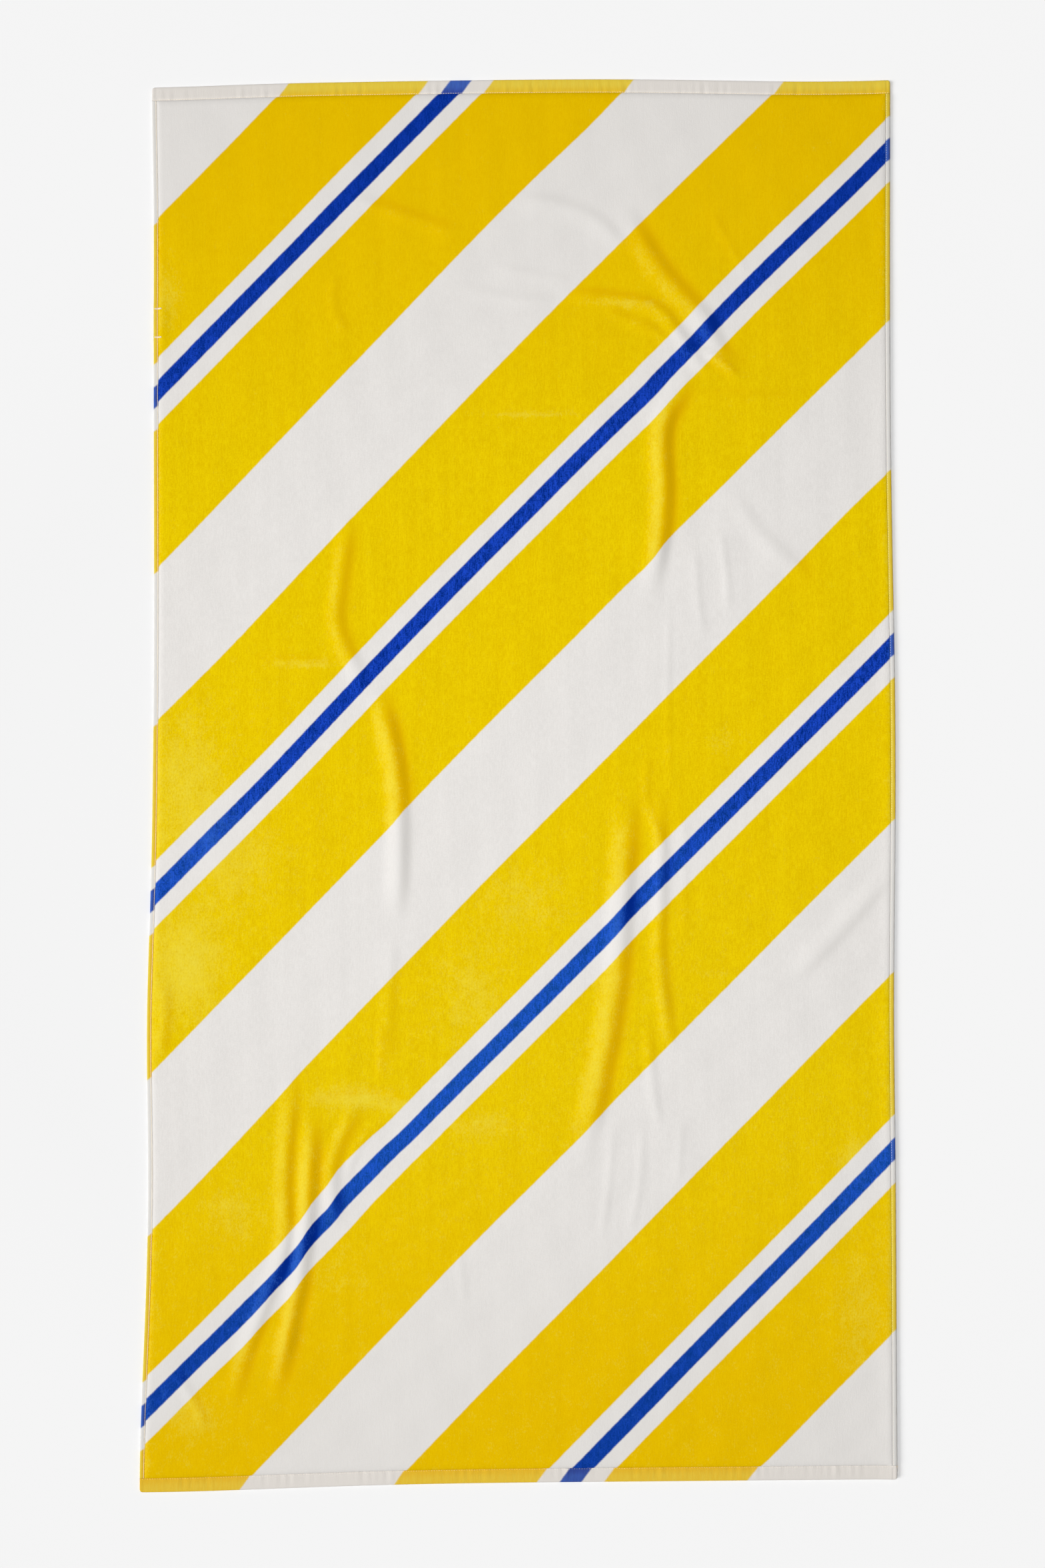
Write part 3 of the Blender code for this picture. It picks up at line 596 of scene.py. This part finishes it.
def side_hem_bottom(u, v):
    half = outer_fold(side_distance(u), SIDE_HEM_THICKNESS)
    own = groove(side_distance(u) - SIDE_SEAM, END_SEAM_DEPTH)
    return SIDE_HEM_THICKNESS / 2 - half + own


# ------ the print

def spots(u, v, table):
    """The sum of soft spots, each with its place, its reach and its value at the middle."""
    total = 0.0
    for (at_u, at_v), (reach_u, reach_v), value in table:
        total = total + value * np.exp(-((u - at_u) / reach_u) ** 2 - ((v - at_v) / reach_v) ** 2)
    return total


def field_print(u, v):
    """Where in the printed pattern the places (u, v) of the field are."""
    x, y = lie(u, v)
    _, drawn_x, drawn_y = fold_shape(x, y)
    return u + drawn_x - spots(u, v, DRIFTS), v + drawn_y


def hem_print(u, v):
    """Where in the pattern a hem is: past the cloth that its seam hides, and stretched outward."""
    over_u = np.maximum(np.abs(u) - WIDTH / 2 + SIDE_HEM_WIDTH, 0.0)
    over_v = np.maximum(np.abs(v) - LENGTH / 2 + END_HEM_WIDTH, 0.0)
    skip_u = np.where(u < 0, LEFT_PRINT_SKIP, RIGHT_PRINT_SKIP)
    hidden_u = np.where(over_u > 0, skip_u, 0.0) + (HEM_PRINT_STRETCH - 1.0) * over_u
    hidden_v = np.where(over_v > 0, END_PRINT_SKIP, 0.0) + (HEM_PRINT_STRETCH - 1.0) * over_v
    return u + np.sign(u) * hidden_u - spots(u, v, DRIFTS), v + np.sign(v) * hidden_v


def thinness(v):
    """How thin the print is: 0 at the top and 1 toward the bottom."""
    return smooth((THIN_PRINT[0] - v) / (THIN_PRINT[0] - THIN_PRINT[1]))


def pile_lie_and_fold_shade(u, v):
    """How the field's pile looks at (u, v): how pale, from brushing and from a painted highlight on each
    fold's lit flank; how deep, toward both ends and from painted shade on each fold's shaded flank; and how
    thinly printed.
    """
    x, y = lie(u, v)
    pale = LOWER_PALENESS * smooth((LOWER_FROM - v - u / 2) / LOWER_REACH)
    pale = pale + EDGE_PALENESS * np.exp(-(side_distance(u) - SIDE_HEM_WIDTH) / EDGE_PALE_REACH)
    pale = pale + spots(x, y, PALE_PATCHES)
    deep = END_DEPTH * smooth((np.abs(v) - END_DEPTH_FROM) / END_DEPTH_REACH)
    # painted highlight on each fold's lit flank, painted shade on its shaded flank
    for height, lit, shaded, _, *points in FOLDS:
        signed, walked, _, _ = from_crest(x, y, points)
        size = height * fold_taper(walked)
        lit_share = np.exp(-((signed / lit + LIT_MIDDLE) / LIT_REACH) ** 2)
        shaded_share = np.exp(-((signed / shaded - SHADED_MIDDLE) / SHADED_REACH) ** 2)
        pale = pale + PAINTED_FOLD_HIGHLIGHT * size * lit_share
        deep = deep + PAINTED_FOLD_SHADE * size * shaded_share
    return pale, deep, thinness(v)


# ------ meshes

def place(name, data, *materials):
    """A new object in the scene."""
    for material in materials:
        data.materials.append(material)
    piece = bpy.data.objects.new(name, data)
    bpy.context.scene.collection.objects.link(piece)
    return piece


def grid_faces(grid):
    """The quads between the rows and columns of a grid of vertex numbers."""
    a, b, c, d = grid[:-1, :-1], grid[:-1, 1:], grid[1:, 1:], grid[1:, :-1]
    return np.stack((a, b, c, d), axis=-1).reshape(-1, 4).tolist()


def rim_faces(upper, lower):
    """The faces round the edge of a slab, each beside one step of its back and two of its face."""
    rims = ((upper[0], lower[0]), (upper[:, -1], lower[:, -1]),
            (upper[-1, ::-1], lower[-1, ::-1]), (upper[::-1, 0], lower[::-1, 0]))
    faces = []
    for above, below in rims:
        for k in range(len(below) - 1):
            faces.append([int(i) for i in (below[k], below[k + 1], *above[2 * k:2 * k + 3][::-1])])
    return faces


def slab(name, us, vs, top, bottom, prints, looks_of, face, back):
    """A closed sheet over the grid of us and vs, with every second line of the grid on its back.

    Each vertex keeps its place in the printed pattern, in the attribute print_at, and how its pile or
    weave looks, painted highlights and shade included, in the attributes pale, deep and thin. prints gives
    that place for the face and the back.
    """
    upper_v, upper_u = np.meshgrid(vs, us, indexing="ij")
    lower_u, lower_v = upper_u[::2, ::2], upper_v[::2, ::2]
    top_points = at_rest(upper_u, upper_v, top(upper_u, upper_v)).reshape(-1, 3)
    bottom_points = at_rest(lower_u, lower_v, bottom(lower_u, lower_v)).reshape(-1, 3)
    points = np.concatenate((top_points, bottom_points))
    upper = np.arange(upper_u.size).reshape(upper_u.shape)
    lower = upper_u.size + np.arange(lower_u.size).reshape(lower_u.shape)
    of_face = grid_faces(upper)
    of_back = grid_faces(lower[:, ::-1])
    mesh = bpy.data.meshes.new(name)
    mesh.from_pydata(points.tolist(), [], of_face + of_back + rim_faces(upper, lower))
    write_print(mesh, prints[0](upper_u, upper_v), prints[1](lower_u, lower_v))
    write_looks(mesh, looks_of(upper_u, upper_v), looks_of(lower_u, lower_v))
    on_back = np.zeros(len(mesh.polygons), dtype=np.int32)
    on_back[len(of_face):len(of_face) + len(of_back)] = 1
    mesh.polygons.foreach_set("material_index", on_back)
    mesh.shade_smooth()
    mesh.validate()
    return place(name, mesh, face, back)


def write_print(mesh, upper, lower):
    """Stores (u, v) of the printed pattern for the vertices of the face and then of the back."""
    printed = [np.concatenate((above.ravel(), below.ravel())) for above, below in zip(upper, lower)]
    printed.append(np.zeros(len(printed[0])))
    attribute = mesh.attributes.new("print_at", "FLOAT_VECTOR", "POINT")
    attribute.data.foreach_set("vector", np.stack(printed, axis=-1).ravel())


def write_looks(mesh, upper, lower):
    """Stores how pale, how deep and how thinly printed the cloth is, in the same order."""
    for name, above, below in zip(("pale", "deep", "thin"), upper, lower):
        values = np.concatenate((above.ravel(), below.ravel()))
        mesh.attributes.new(name, "FLOAT", "POINT").data.foreach_set("value", values)


def stations(reach, fine, steps):
    """Stations from -reach to reach: fine beside both ends, even between. steps is even."""
    low = [inset - reach for inset in fine]
    return np.array(low[:-1] + np.linspace(low[-1], -low[-1], steps + 1).tolist()
                    + [-station for station in reversed(low[:-1])])


def make_field(face, back):
    us = stations(WIDTH / 2 - SIDE_HEM_WIDTH, PILE_EDGE_LINES, FIELD_COLUMNS)
    vs = stations(LENGTH / 2 - END_HEM_WIDTH, PILE_EDGE_LINES, FIELD_ROWS)
    prints = (field_print, field_print)
    return slab("velour_field", us, vs, field_top, lambda u, v: 0.0 * u, prints, pile_lie_and_fold_shade, face, back)


def hem_insets(width, lines):
    """From the outer fold to the lines along a hem: round the fold, across, and through the seam."""
    seam_lines = [width - SEAM_FROM_INNER_EDGE + step for step in SEAM_LINES]
    middle = np.linspace(FOLD_LINES[-1], seam_lines[0], lines)
    return [*FOLD_LINES, *middle[1:].tolist(), *seam_lines[1:]]


def between(ends, share):
    """The value a share of the way from the first of two to the second."""
    return ends[0] + (ends[1] - ends[0]) * share


def end_hem_lie(u, v):
    """An end hem's weave looks palest toward its outer fold, and the bottom one deeper than the top one."""
    outward = smooth((END_HEM_WIDTH - end_distance(v)) / END_PALE_REACH)
    pale = np.where(v > 0, between(TOP_PALE, outward), between(BOTTOM_PALE, outward))
    deep = np.where(v > 0, TOP_DEEP, BOTTOM_DEEP)
    return pale, deep, thinness(v)


def side_hem_painted_shading(u, v):
    """Painted light and shade on the side hems' rolls: the left hem grows deeper from its outer fold to its
    seam, and the right one paler.
    """
    inward = side_distance(u) - SIDE_CHANGE_FROM
    left_inward = smooth(inward / LEFT_CHANGE_REACH)
    right_pale = between(RIGHT_PALE, smooth(inward / RIGHT_CHANGE_REACH))
    pale = np.where(u > 0, right_pale, between(LEFT_PALE, left_inward))
    deep = np.where(u > 0, RIGHT_DEEP, between(LEFT_DEEP, left_inward))
    return pale, deep, thinness(v)


def under_end_hem_print(u, v):
    """Where in the pattern the turned-under side of an end hem is: on the face, past the outer fold."""
    return hem_print(u, np.sign(v) * (LENGTH - np.abs(v)))


def under_side_hem_print(u, v):
    """The same for a side hem."""
    return hem_print(np.sign(u) * (WIDTH - np.abs(u)), v)


def make_end_hem(name, side, cloth):
    vs = np.sort([side * (LENGTH / 2 - inset) for inset in hem_insets(END_HEM_WIDTH, END_HEM_LINES)])
    us = stations(WIDTH / 2, FOLD_LINES, 2 * round((WIDTH / 2 - FOLD_LINES[-1]) / HEM_STEP))
    prints = (hem_print, under_end_hem_print)
    return slab(name, us, vs, end_hem_top, end_hem_bottom, prints, end_hem_lie, cloth, cloth)


def make_side_hem(name, side, cloth):
    us = np.sort([side * (WIDTH / 2 - inset) for inset in hem_insets(SIDE_HEM_WIDTH, SIDE_HEM_LINES)])
    reach = LENGTH / 2 - END_HEM_WIDTH
    vs = np.linspace(-reach, reach, 2 * round(reach / HEM_STEP) + 1)
    prints = (hem_print, under_side_hem_print)
    return slab(name, us, vs, side_hem_top, side_hem_bottom, prints, side_hem_painted_shading, cloth, cloth)


# ------ threads

def make_thread(name, points, radius, material):
    curve = bpy.data.curves.new(name, "CURVE")
    curve.dimensions = "3D"
    curve.bevel_depth = radius
    curve.bevel_resolution = 1
    curve.use_fill_caps = True
    spline = curve.splines.new("POLY")
    spline.points.add(len(points) - 1)
    spline.points.foreach_set("co", np.column_stack((points, np.ones(len(points)))).ravel())
    spline.use_smooth = True
    return place(name, curve, material)


def stitches(start, end, surface, side, sink):
    """Points of a row of stitches from one place (u, v) to another, dipping into the cloth at each hole.

    side is +1 for the thread on a surface and -1 for the one under it.
    """
    length = math.hypot(end[0] - start[0], end[1] - start[1])
    count = round(length / STITCH)
    shares = np.array([(k + phase) / count for k in range(count) for phase in STITCH_PHASES] + [1.0])
    u = start[0] + (end[0] - start[0]) * shares
    v = start[1] + (end[1] - start[1]) * shares
    heights = np.array(list(STITCH_HEIGHTS) * count + [STITCH_HEIGHTS[0]])
    return at_rest(u, v, surface(u, v) + side * (THREAD_RADIUS + heights - sink))


def zigzag(start, end, v, surface, side):
    """Points of a close zigzag of thread along u, from start to end."""
    turns = round((end - start) / TACK_PITCH)
    turned = np.linspace(0.0, turns, TACK_STEPS * turns + 1)
    u = start + (end - start) * turned / turns
    v = v + TACK_HALF_WIDTH * np.cos(math.pi * turned)
    return at_rest(u, v, surface(u, v) + side * THREAD_RADIUS)


def make_seams(material):
    """Both threads of each seam: the needle thread shows on the face, the bobbin thread on the back."""
    half_across = WIDTH / 2 - THREAD_END
    half_along = LENGTH / 2 - END_HEM_WIDTH
    rows = []
    for name, side in ENDS:
        v = side * (LENGTH / 2 - END_SEAM)
        rows.append((name, (-half_across, v), (half_across, v), end_hem_top, end_hem_bottom))
    for name, side in SIDES:
        u = side * (WIDTH / 2 - SIDE_SEAM)
        rows.append((name, (u, -half_along), (u, half_along), side_hem_top, side_hem_bottom))
    made = []
    for name, start, end, top, bottom in rows:
        kinds = (("needle", top, 1, SEAM_SINKS[name]), ("bobbin", bottom, -1, 0.0))
        for kind, surface, side, sink in kinds:
            points = stitches(start, end, surface, side, sink)
            piece = make_thread(f"{name}_{kind}_stitches", points, THREAD_RADIUS, material)
            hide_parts(f"{name}_{kind}_thread")
            made.append(piece)
    return made


# ------ the label

def ribbon(name, line, thickness, across, material):
    """A closed strip of tape. line holds (y, z) of its middle, and across is (x, x) of its two sides."""
    run = np.gradient(line, axis=0)
    normal = np.stack((-run[:, 1], run[:, 0]), axis=-1)
    normal /= np.linalg.norm(normal, axis=1)[:, None]
    outline = np.concatenate((line + normal * thickness / 2, (line - normal * thickness / 2)[::-1]))
    count, rows = len(outline), len(across)
    points = [(x, y, z) for x in across for y, z in outline.tolist()]
    faces = []
    for here in range(0, (rows - 1) * count, count):
        for k in range(count):
            after = (k + 1) % count
            faces.append([here + k, here + after, here + count + after, here + count + k])
    caps = [(k, k + 1, count - 2 - k, count - 1 - k) for k in range(len(line) - 1)]
    faces += [list(cap[::-1]) for cap in caps]
    faces += [[(rows - 1) * count + k for k in cap] for cap in caps]
    mesh = bpy.data.meshes.new(name)
    mesh.from_pydata(points, [], faces)
    mesh.shade_smooth()
    mesh.set_sharp_from_angle(angle=LABEL_SHARP)
    return place(name, mesh, material)


def make_label(material):
    """A tape with both ends folded under, beneath the left hem."""
    half = LABEL_LENGTH / 2
    low, high = LABEL_TAPE / 2 + LABEL_OFF_FLOOR, LABEL_TAPE * 1.5
    turn = (high - low) / 2
    under, around, along = LABEL_POINTS
    arc = [(half - turn + turn * math.sin(a), (low + high) / 2 - turn * math.cos(a))
           for a in np.linspace(0, math.pi, around)]
    end = [(y, low) for y in np.linspace(half - LABEL_FOLD, half - 2 * turn, under)] + arc
    face = [(y, high) for y in np.linspace(4 * turn - half, half - 4 * turn, along)]
    line = np.array([(-y, z) for y, z in end] + face + end[::-1])
    x, y = lie(np.array(LABEL_FROM_EDGE - WIDTH / 2), np.array(LABEL_MIDDLE))
    corner = settle(x, y, 0.0 * x)
    line = line + (corner[1], 0.0)
    across = corner[0] + np.linspace(0.0, LABEL_WIDTH, LABEL_LINES)
    return ribbon("blank_label", line, LABEL_TAPE * LABEL_DRAWN, across.tolist(), material)


def make_tacks(material):
    """A short row of zigzag stitches across each folded end of the label."""
    made = []
    outer = LABEL_FROM_EDGE + THREAD_END / 2 - WIDTH / 2
    inner = outer + LABEL_WIDTH - THREAD_END
    for name, side in (("upper", 1), ("lower", -1)):
        v = LABEL_MIDDLE + side * TACK_SPACING / 2
        for kind, surface, face in (("needle", over_left_edge, 1), ("bobbin", under_label, -1)):
            points = zigzag(outer, inner, v, surface, face)
            piece = make_thread(f"label_{name}_{kind}_stitches", points, THREAD_RADIUS, material)
            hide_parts(f"label_{name}_{kind}_thread")
            made.append(piece)
    return made


def over_left_edge(u, v):
    """The cloth's face where the label is sewn on: the left hem, then the pile."""
    return np.where(side_distance(u) < SIDE_HEM_WIDTH, side_hem_top(u, v), field_top(u, v))


def under_label(u, v):
    """The label's underside, held down to the floor whatever the cloth over it does."""
    return 2 * THREAD_RADIUS + TACK_OFF_FLOOR - bed(u, v)


# ------ materials

class Shade:
    """A material and a short way of making and joining its nodes."""

    def __init__(self, name, roughness, specular=0.03, sheen=0.0):
        self.material = bpy.data.materials.new(name)
        self.material.use_nodes = True
        self.tree = self.material.node_tree
        self.surface = self.tree.nodes["Principled BSDF"].inputs
        settings = {"Roughness": roughness, "Specular IOR Level": specular,
                    "Sheen Weight": sheen, "Sheen Roughness": SHEEN_ROUGHNESS}
        for socket, value in settings.items():
            self.surface[socket].default_value = value

    def feed(self, socket, value):
        if isinstance(value, bpy.types.NodeSocket):
            self.tree.links.new(value, socket)
        else:
            socket.default_value = value

    def node(self, kind, inputs, **settings):
        made = self.tree.nodes.new("ShaderNode" + kind)
        for name, value in settings.items():
            setattr(made, name, value)
        for name, value in inputs.items():
            self.feed(made.inputs[name], value)
        return made

    def attribute(self, name, output="Vector"):
        return self.node("Attribute", {}, attribute_name=name).outputs[output]

    def object_place(self):
        return self.node("TexCoord", {}).outputs["Object"]

    def math(self, operation, first, second=0.0, clamp=False):
        return self.node("Math", {0: first, 1: second}, operation=operation, use_clamp=clamp).outputs[0]

    def stretched(self, vector, sizes):
        """The vector counted in steps of the given sizes."""
        steps = tuple(1.0 / size for size in sizes)
        return self.node("VectorMath", {0: vector, 1: steps}, operation="MULTIPLY").outputs[0]

    def noise(self, vector, size, detail=2.0, roughness=0.5):
        """Noise around 0.5 with features of a size, or of one size for each axis."""
        sizes = size if isinstance(size, tuple) else (size, size, size)
        inputs = {"Vector": self.stretched(vector, sizes), "Scale": 1.0,
                  "Detail": detail, "Roughness": roughness}
        return self.node("TexNoise", inputs).outputs[0]

    def spread(self, value, low, high):
        """0 at low and 1 at high, and no further."""
        inputs = {"Value": value, "From Min": low, "From Max": high}
        return self.node("MapRange", inputs).outputs[0]

    def blend(self, share, first, second, kind="MIX"):
        made = self.node("Mix", {}, data_type="RGBA", blend_type=kind)
        for key, value in ((0, share), (6, first), (7, second)):
            self.feed(made.inputs[key], value)
        return made.outputs[2]

    def ramp(self, value, stops):
        made = self.node("ValToRGB", {0: value})
        elements = made.color_ramp.elements
        while len(elements) < len(stops):
            elements.new(1.0)
        for element, (at, colour) in zip(elements, stops):
            element.position = at
            element.color = (*colour, 1.0)
        return made.outputs[0]

    def finish(self, colour, height, depth, strength):
        self.feed(self.surface["Base Color"], colour)
        bump = self.node("Bump", {"Height": height, "Distance": depth, "Strength": strength})
        self.feed(self.surface["Normal"], bump.outputs[0])
        return self.material


def across_stripes(shade, printed):
    """From the middle of a place's blue stripe to it, in half periods, with the print's uneven edge."""
    normal = (math.cos(STRIPE_ANGLE), -math.sin(STRIPE_ANGLE), 0.0)
    across = shade.node("VectorMath", {0: printed, 1: normal}, operation="DOT_PRODUCT").outputs["Value"]
    for size, swing in PRINT_EDGES:
        uneven = shade.math("SUBTRACT", shade.noise(printed, size, 1.0), 0.5)
        across = shade.math("ADD", across, shade.math("MULTIPLY", uneven, swing))
    across = shade.math("SUBTRACT", across, STRIPE_MIDDLE)
    bounced = shade.math("PINGPONG", across, STRIPE_PERIOD / 2)
    return shade.math("DIVIDE", bounced, STRIPE_PERIOD / 2)


def stripes(look):
    """The stops of a colour ramp from the middle of a blue stripe to the middle of a wide white one."""
    half = STRIPE_PERIOD / 2
    edges = ((BLUE_HALF, BLUE, WHITE), (THIN_WHITE_END, WHITE, YELLOW), (YELLOW_END, YELLOW, WHITE))
    stops = []
    for edge, inner, outer in edges:
        stops.append(((edge - PRINT_BLUR) / half, inner[look]))
        stops.append(((edge + PRINT_BLUR) / half, outer[look]))
    return stops


def printed_colour(shade, grain, mottle, swing):
    """The stripes, grain by grain, turned pale or deep as the attributes pale and deep say: as the pile
    lies, and by painted highlights and shade. The mottle swings the paleness.
    """
    across = across_stripes(shade, shade.attribute("print_at"))
    looks = [shade.ramp(across, stripes(look)) for look in (DARK_GRAINS, LIGHT_GRAINS, PALE, DEEP, THIN)]
    grains = shade.blend(grain, looks[DARK_GRAINS], looks[LIGHT_GRAINS])
    printed = shade.blend(shade.attribute("thin", "Fac"), grains, looks[THIN], "ADD")
    uneven = shade.math("MULTIPLY", shade.math("SUBTRACT", mottle, 0.5), swing)
    # pale carries brushed pile and painted highlights, deep the deeper colours and painted shade
    pale = shade.spread(shade.math("ADD", shade.attribute("pale", "Fac"), uneven), PALE_FROM, 1.0)
    deep = shade.math("ADD", shade.attribute("deep", "Fac"), 0.0, clamp=True)
    deepened = shade.blend(deep, printed, looks[DEEP])
    return shade.blend(shade.math("MULTIPLY", pale, PALE_MOST), deepened, looks[PALE])


def weighed(shade, parts):
    """The sum of values, each times its weight. parts holds (weight, value)."""
    total = 0.0
    for weight, value in parts:
        total = shade.math("ADD", total, shade.math("MULTIPLY", value, weight))
    return total


def velour():
    """Sheared pile: fine grains in faint upright rows, with clouds and brushed patches."""
    shade = Shade("velour", roughness=1.0, specular=0.0)
    printed = shade.attribute("print_at")
    grains = [(shade.noise(printed, *noise), share, height) for noise, share, height in VELOUR_GRAIN]
    grain = weighed(shade, [(share, noise) for noise, share, _ in grains])
    relief = weighed(shade, [(height, noise) for noise, _, height in grains])
    mottle = weighed(shade, [(share, shade.noise(printed, *noise)) for noise, share in BRUSHED])
    colour = printed_colour(shade, shade.spread(grain, low=0.42, high=0.58), mottle, BRUSHED_SWING)
    return shade.finish(colour, relief, depth=0.0006, strength=0.5)


def weave(name):
    """A plain weave with its pile left out: threads over and under each other."""
    pitch, tint = WEAVES[name]
    shade = Shade(name, roughness=0.95, specular=0.05, sheen=0.02)
    printed = shade.attribute("print_at")
    parts = shade.node("SeparateXYZ", {0: printed}).outputs
    waves = [shade.math("SINE", shade.math("MULTIPLY", parts[k], 2 * math.pi / pitch)) for k in (0, 1)]
    crossing = shade.math("MULTIPLY", waves[0], waves[1])
    slubs = shade.noise(printed, WEAVE_SLUBS)
    height = weighed(shade, [(CROSSING_HEIGHT, crossing), (1.0, slubs)])
    mottle = shade.noise(printed, WEAVE_MOTTLE)
    colour = printed_colour(shade, shade.spread(slubs, low=0.3, high=0.7), mottle, WEAVE_SWING)
    colour = shade.blend(1.0, shade.blend(UNDYED_SHARE, colour, UNDYED), tint, "MULTIPLY")
    return shade.finish(colour, height, depth=0.0004, strength=0.5)


def looped_back():
    """The unprinted back: rows of small loops, off-white, with the print showing through a little."""
    shade = Shade("looped_back", roughness=1.0, specular=0.02, sheen=0.03)
    printed = shade.attribute("print_at")
    loops = shade.node("TexVoronoi", {"Vector": shade.stretched(printed, BACK_LOOPS), "Scale": 1.0})
    height = shade.spread(loops.outputs["Distance"], low=0.75, high=0.05)
    through = shade.ramp(across_stripes(shade, printed), stripes(PALE))
    # painted shade: the hollows between the loops darker than their tops
    colour = shade.blend(PRINT_THROUGH, shade.blend(height, *BACK_COLOURS), through)
    return shade.finish(colour, height, depth=0.0012, strength=0.9)


def thread_material():
    """Spun sewing thread, with the slant of its twist."""
    shade = Shade("spun_thread", roughness=0.6, specular=0.3, sheen=0.1)
    here = shade.stretched(shade.object_place(), THREAD_TWIST)
    inputs = {"Vector": here, "Scale": 0.5, "Distortion": 1.5}
    twist = shade.node("TexWave", inputs, bands_direction="DIAGONAL").outputs["Fac"]
    # painted shade: the thread darker in the grooves of its twist
    return shade.finish(shade.blend(twist, *THREAD_COLOURS), twist, depth=0.0001, strength=0.5)


def tape_material():
    """Satin tape: fine lengthwise threads, blank."""
    shade = Shade("satin_tape", roughness=0.45, specular=0.4, sheen=0.1)
    threads = shade.noise(shade.object_place(), TAPE_THREADS)
    # painted shade: the tape darker where its threads' relief is low
    return shade.finish(shade.blend(threads, *TAPE_COLOURS), threads, depth=0.0001, strength=0.4)


# ------ stage

def make_floor():
    """A plain pale floor, without an edge or a dark far end in any view."""
    shade = Shade("floor", roughness=0.9, specular=0.0)
    here = shade.object_place()
    away = shade.node("VectorMath", {0: here}, operation="LENGTH").outputs["Value"]
    away = shade.math("DIVIDE", away, FLOOR_REACH)
    tones = [(at / FLOOR_REACH, (tone, tone, tone)) for at, tone, _ in FLOOR_RINGS]
    glows = [(at / FLOOR_REACH, (glow, glow, glow)) for at, _, glow in FLOOR_RINGS]
    shade.feed(shade.surface["Emission Color"], shade.ramp(away, glows))
    shade.surface["Emission Strength"].default_value = 1.0
    grain = shade.noise(here, FLOOR_GRAIN)
    shade.finish(shade.ramp(away, tones), grain, depth=0.0002, strength=0.1)
    mesh = bpy.data.meshes.new("floor")
    half = FLOOR_SIZE / 2
    corners = [(-half, -half, 0), (half, -half, 0), (half, half, 0), (-half, half, 0)]
    mesh.from_pydata(corners, [], [(0, 1, 2, 3)])
    floor = place("floor", mesh, shade.material)
    floor.location = (*LIGHT_FOOT, FLOOR_Z)
    return floor


def make_lights():
    key = bpy.data.lights.new("key", "SUN")
    key.energy = KEY_STRENGTH
    key.angle = KEY_SOFTNESS
    lamp = place("key", key)
    lamp.rotation_euler = Vector((
        math.sin(KEY_FROM_ABOVE) * math.cos(KEY_AZIMUTH),
        math.sin(KEY_FROM_ABOVE) * math.sin(KEY_AZIMUTH),
        math.cos(KEY_FROM_ABOVE))).to_track_quat("Z", "Y").to_euler()
    above = bpy.data.lights.new("softbox", "AREA")
    above.shape = "DISK"
    above.size = SOFTBOX_SIZE
    above.energy = SOFTBOX_POWER
    softbox = place("softbox", above)
    softbox.location = (*LIGHT_FOOT, SOFTBOX_HEIGHT)
    softbox.visible_camera = False
    world = bpy.data.worlds.new("studio")
    world.use_nodes = True
    nodes, links = world.node_tree.nodes, world.node_tree.links
    nodes["Background"].inputs["Color"].default_value = (1.0, 1.0, 1.0, 1.0)
    seen = nodes.new("ShaderNodeLightPath")
    strength = nodes.new("ShaderNodeMapRange")
    strength.inputs["To Min"].default_value = AMBIENT
    strength.inputs["To Max"].default_value = BACKDROP
    links.new(seen.outputs["Is Camera Ray"], strength.inputs["Value"])
    links.new(strength.outputs[0], nodes["Background"].inputs["Strength"])
    bpy.context.scene.world = world


def make_camera():
    data = bpy.data.cameras.new("camera")
    data.sensor_fit = "VERTICAL"
    data.sensor_height = FILM_HEIGHT
    data.lens = LENS
    camera = place("camera", data)
    camera.location = settle(*(np.array(value) for value in CAMERA_PLACE))
    camera.rotation_euler = (CAMERA_TILT, CAMERA_LEAN, 0.0)
    bpy.context.scene.camera = camera


# ------ the towel

def finish_piece(piece, slot, *nodes):
    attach(piece, "root")
    if nodes:
        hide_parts(*nodes)


def build():
    bpy.context.scene.view_settings.view_transform = "Standard"
    make_camera()
    make_lights()
    make_floor()
    field = make_field(velour(), looped_back())
    finish_piece(field, "velour", "terry_panel")
    flat_weave = weave("flat_weave")
    selvedge = weave("selvedge")
    hems = []
    for name, side in ENDS:
        hems.append(make_end_hem(f"{name}_hem_cloth", side, flat_weave))
        finish_piece(hems[-1], "flat_weave", f"{name}_hem")
    for name, side in SIDES:
        hems.append(make_side_hem(f"{name}_hem_cloth", side, selvedge))
        finish_piece(hems[-1], "selvedge", f"{name}_hem")
    thread = thread_material()
    for piece in make_seams(thread) + make_tacks(thread):
        finish_piece(piece, "sewing_thread")
    finish_piece(make_label(tape_material()), "label_tape", "label")


build()
